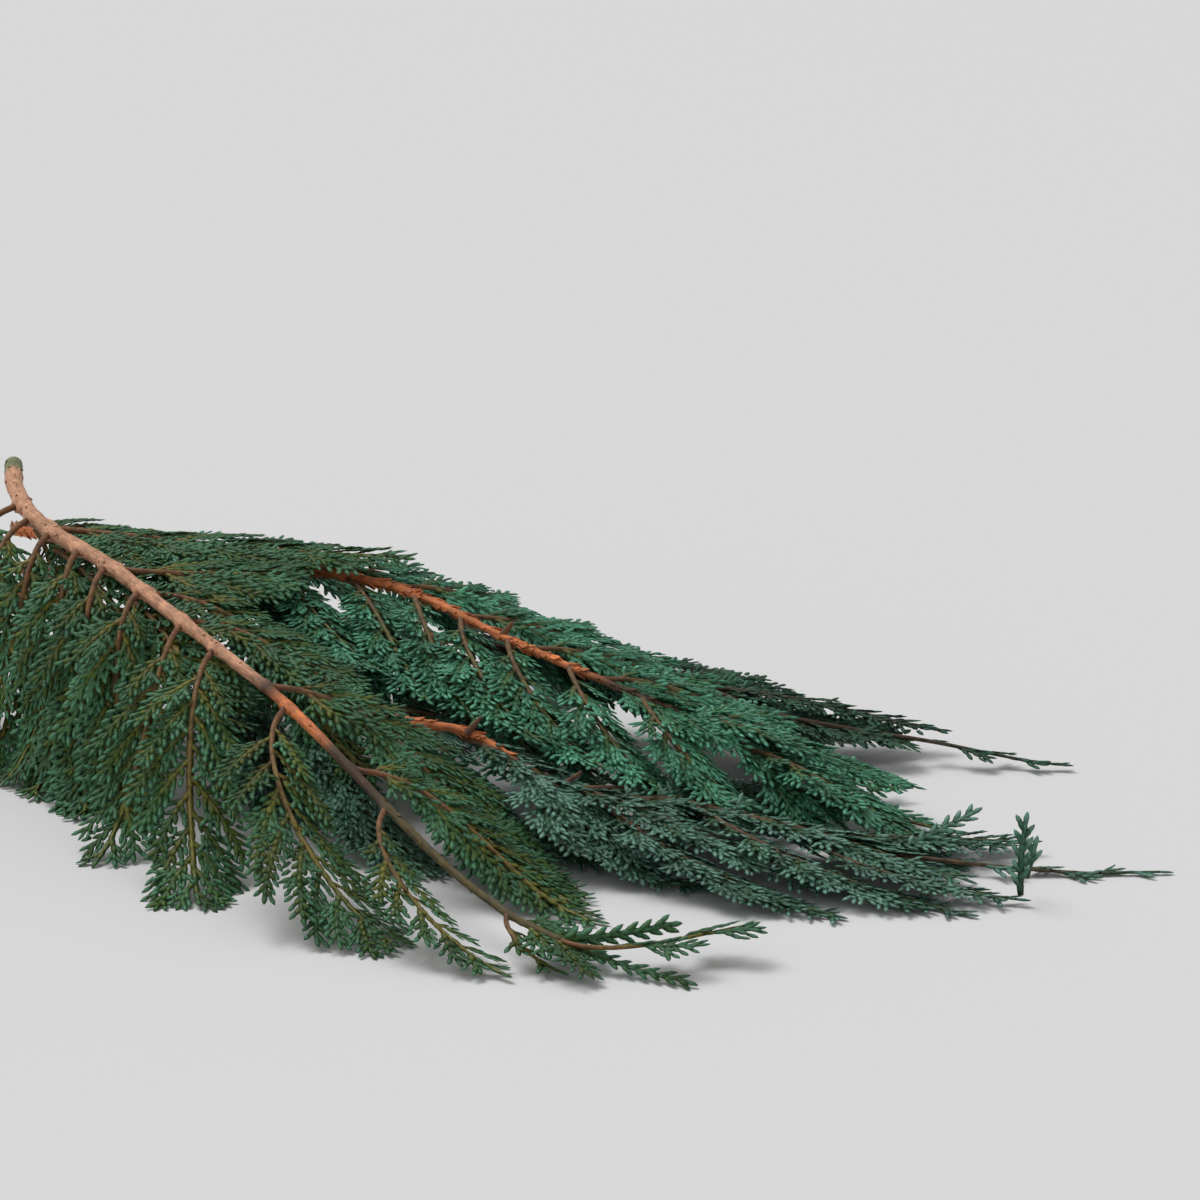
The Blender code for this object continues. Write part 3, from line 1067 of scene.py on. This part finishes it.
def finish_shader(tree, shader, colour, height, gloss, strength, depth):
    """Colour, a roughness between the two of gloss, and a bump from the same noise."""
    wire(tree, shader.inputs["Base Color"], colour)
    wire(tree, shader.inputs["Roughness"], spread(tree, height, (0.3, 0.7), gloss))
    bump = add(
        tree, "ShaderNodeBump",
        {"Strength": strength, "Distance": depth * MM, "Height": height},
    )
    wire(tree, shader.inputs["Normal"], bump.outputs["Normal"])


def foliage_material(branch):
    """Waxy scale leaves: young tips, green middles, olive axes, painted shade in the grooves.
    """
    made, tree, shader = new_material(f"{branch} foliage")
    place = add(tree, "ShaderNodeTexCoord").outputs["Object"]
    patches = noise_at(tree, place, 14.0)
    mottle = noise_at(tree, place, 1.3, detail=3.0)
    wander = spread(tree, patches, (0.3, 0.7), (-0.13, 0.13))
    age = maths(tree, "ADD", attribute(tree, "age"), wander)
    ramp = add(tree, "ShaderNodeValToRGB", {"Fac": age})
    stops = ramp.color_ramp.elements
    while len(stops) < len(AGES):
        stops.new(0.5)
    for stop, position, colour in zip(stops, AGES, FOLIAGE[branch]):
        stop.position = position
        stop.color = colour
    light = spread(tree, attribute(tree, "tint"), (-1.0, 1.0), (0.72, 1.28))
    fleck = spread(tree, mottle, (0.3, 0.7), (0.8, 1.2))
    tone = add(
        tree, "ShaderNodeHueSaturation",
        {"Value": maths(tree, "MULTIPLY", light, fleck), "Color": ramp.outputs["Color"]},
    )
    # Painted shade: the leaves are darkened in the hollows between them, where shade falls
    groove = spread(tree, attribute(tree, "groove"), (0.0, 1.0), (1.0, 0.3))
    groove_shaded = mixed(tree, "MULTIPLY", 1.0, tone.outputs["Color"], groove)
    finish_shader(tree, shader, groove_shaded, mottle, (0.42, 0.62), 0.35, 0.2)
    shader.inputs["Specular IOR Level"].default_value = 0.28
    return made


def side_bark_material(branch):
    """The thin bark of the side branches, brown near the stem and olive further out."""
    made, tree, shader = new_material(f"{branch} side bark")
    place = add(tree, "ShaderNodeTexCoord").outputs["Object"]
    blotch = noise_at(tree, place, 3.0, detail=4.0)
    fine = noise_at(tree, place, 0.6, detail=3.0)
    age = spread(tree, attribute(tree, "age"), (0.6, 1.0), (0.0, 1.0))
    colour = mixed(tree, "MIX", age, FOLIAGE[branch][2], SIDE_BARK[branch])
    dark = spread(tree, blotch, (0.35, 0.65), (0.55, 1.25))
    colour = mixed(tree, "MULTIPLY", 1.0, colour, dark)
    finish_shader(tree, shader, colour, fine, (0.6, 0.85), 0.6, 0.3)
    return made


def stem_bark_material(branch):
    """Fibrous bark, coloured along the stem, with fine grain and darker cracks."""
    made, tree, shader = new_material(f"{branch} bark")
    grain = attribute(tree, "grain", "Vector")
    along = {0: grain, 1: (1.0, 1.0, 0.16)}
    stretch = add(tree, "ShaderNodeVectorMath", along, operation="MULTIPLY").outputs[0]
    fibres = noise_at(tree, stretch, 0.55, detail=5.0, rough=0.62)
    blotch = noise_at(tree, grain, 4.0, detail=4.0, rough=0.6)
    crack = spread(tree, fibres, (0.3, 0.72), (0.45, 1.3))
    patch = spread(tree, blotch, (0.35, 0.7), (0.72, 1.22))
    colour = mixed(tree, "MULTIPLY", 1.0, attribute(tree, "bark colour", "Color"), crack)
    colour = mixed(tree, "MULTIPLY", 1.0, colour, patch)
    finish_shader(tree, shader, colour, fibres, (0.6, 0.85), 0.8, 0.4)
    return made


def bark_colour(branch, along):
    zones = BARK[branch]
    for (a, one), (b, other) in zip(zones, zones[1:]):
        if along <= b:
            share = min(max((along - a) / (b - a), 0.0), 1.0)
            return [p + (q - p) * share for p, q in zip(one, other)]
    return zones[-1][1]


def stem_thickness(stem, along, angle):
    """The stem's radius at this angle around it, with knuckles, lumps and ridges."""
    branch = stem.branch
    radius = stem.bark_radius(along)
    for group, side in ((branch.near, NEAR), (branch.far, FAR)):
        facing = max(0.0, math.cos(angle) * side)
        for spray in group:
            distance = (along - spray.along - KNUCKLE_AHEAD) / KNUCKLE_LENGTH
            swell = KNUCKLE_SWELL + COLLAR_SWELL * facing**2
            radius += stem.bark_radius(spray.along) * math.exp(-(distance**2)) * swell
    x, y = math.cos(angle) * LUMPS_AROUND, math.sin(angle) * LUMPS_AROUND
    lump = noise.noise(Vector((x + LUMPS_FROM, y, along * LUMPS_ALONG + len(branch.name))))
    ridge = noise.noise(Vector((x * RIDGES_AROUND, y * RIDGES_AROUND, along * RIDGES_ALONG)))
    radius *= 1 + LUMP_HEIGHT * lump + RIDGE_HEIGHT * ridge
    return radius * CUT_END_NARROWING if along == 0 else radius


def stem_mesh(stem):
    """The woody stem: a tube with a cut end, and what its bark reads at each point."""
    mesh = bmesh.new()
    grain = mesh.verts.layers.float_vector.new("grain")
    paint = mesh.verts.layers.float_color.new("bark colour")
    run = mesh.verts.layers.float_vector.new("ahead")
    rings = round(stem.length / RING_STEP)
    rows = []
    for i in range(rings + 1):
        along = stem.length * i / rings
        centre, ahead = stem.spot(along)
        across = ahead.cross(UP).normalized()
        above = across.cross(ahead).normalized()
        colour = bark_colour(stem.branch.name, along)
        row = []
        for k in range(STEM_SIDES):
            angle = 2 * math.pi * k / STEM_SIDES
            x, y = math.cos(angle), math.sin(angle)
            radius = stem_thickness(stem, along, angle)
            vert = mesh.verts.new((centre + (across * x + above * y) * radius) * MM)
            vert[grain] = Vector((x * radius, y * radius, along)) * MM
            vert[paint] = colour
            vert[run] = ahead
            row.append(vert)
        rows.append(row)
    for one, other in zip(rows, rows[1:]):
        for k in range(STEM_SIDES):
            j = (k + 1) % STEM_SIDES
            mesh.faces.new((one[k], one[j], other[j], other[k]))
    mesh.faces.new(rows[0])
    mesh.faces.new(rows[-1])
    for face in mesh.faces:
        face.smooth = True
    bmesh.ops.recalc_face_normals(mesh, faces=mesh.faces)
    data = bpy.data.meshes.new(f"{stem.branch.name} stem")
    mesh.to_mesh(data)
    mesh.free()
    return data


def claim(piece, node):
    """Puts a finished piece on the body it rides on and hides the solid it stands for."""
    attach(piece, BODY)
    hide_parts(node)


def make_stem(stem, tree, flake, seed):
    name = stem.branch.name
    bark = stem_bark_material(name)
    piece = add_object(f"{name}_stem_bark", stem_mesh(stem))
    piece.data.materials.append(bark)
    run_tree(piece, tree, {
        "Flake": flake, "Density": FLAKE_DENSITY[name], "Shortest": SHORTEST_FLAKE * MM,
        "Longest": LONGEST_FLAKE[name] * MM, "Seed": seed, "Bark": bark,
    })
    claim(piece, f"{name}_stem")


def make_sprays(stem, tree, leaf, number):
    branch = stem.branch
    foliage = foliage_material(branch.name)
    bark = side_bark_material(branch.name)
    groups = (("near", branch.near, NEAR), ("far", branch.far, FAR), ("tip", branch.tips, TIP))
    for group, sprays, side in groups:
        for index, spray in enumerate(sprays, 1):
            node = f"{branch.name}_{group}_spray_{index}"
            seed = number * 1000 + side * 100 + index
            skeleton = grow_spray(stem, spray, side, seed)
            piece = add_object(f"{node}_twigs", skeleton.mesh(node))
            inputs = {"Scale leaf": leaf, "Seed": seed, "Foliage": foliage, "Bark": bark}
            run_tree(piece, tree, inputs)
            rest_on_table(piece.data)
            lay_out_map(piece.data, foliage, len(leaf.data.polygons))
            claim(piece, node)


def make_bunch():
    leaf = bpy.data.objects.new("scale leaf", scale_leaf_mesh())
    flake = bpy.data.objects.new("bark flake", flake_mesh())
    spray_tree, flake_tree = cedar_spray_tree(), bark_flake_tree()
    for number, branch in enumerate(BRANCHES, 1):
        stem = Stem(branch)
        make_stem(stem, flake_tree, flake, number)
        make_sprays(stem, spray_tree, leaf, number)
    bpy.data.objects.remove(leaf)
    bpy.data.objects.remove(flake)


def make_table():
    mesh = bpy.data.meshes.new("table")
    half = TABLE_SIZE / 2 * MM
    corners = [(-half, -half, 0), (half, -half, 0), (half, half, 0), (-half, half, 0)]
    mesh.from_pydata(corners, [], [(0, 1, 2, 3)])
    made, _, shader = new_material("pale table")
    shader.inputs["Base Color"].default_value = (TABLE_GREY, TABLE_GREY, TABLE_GREY, 1.0)
    shader.inputs["Roughness"].default_value = TABLE_ROUGHNESS
    shader.inputs["Specular IOR Level"].default_value = TABLE_SHINE
    mesh.materials.append(made)
    table = add_object("table", mesh)


def make_lights():
    world = bpy.data.worlds.new("studio")
    bpy.context.scene.world = world
    world.use_nodes = True
    sky = world.node_tree.nodes["Background"]
    sky.inputs["Color"].default_value = (1.0, 1.0, 1.0, 1.0)
    sky.inputs["Strength"].default_value = SKY_STRENGTH
    light = bpy.data.lights.new("soft sun", "SUN")
    light.energy = SUN_STRENGTH
    light.angle = SUN_SPREAD
    sun = add_object("soft sun", light)
    sun.rotation_euler = Vector(SUN_FROM).to_track_quat("Z", "Y").to_euler()
    bpy.context.scene.view_settings.view_transform = "Standard"


def make_camera():
    data = bpy.data.cameras.new("camera")
    data.lens = CAMERA_LENS
    data.sensor_width = CAMERA_SENSOR
    data.clip_end = CAMERA_SIGHT * MM
    camera = add_object("camera", data)
    camera.location = Vector(CAMERA_PLACE) * MM
    camera.rotation_euler = (math.pi / 2 - CAMERA_BELOW_LEVEL, 0.0, 0.0)
    bpy.context.scene.camera = camera


make_camera()
make_lights()
make_table()
make_bunch()
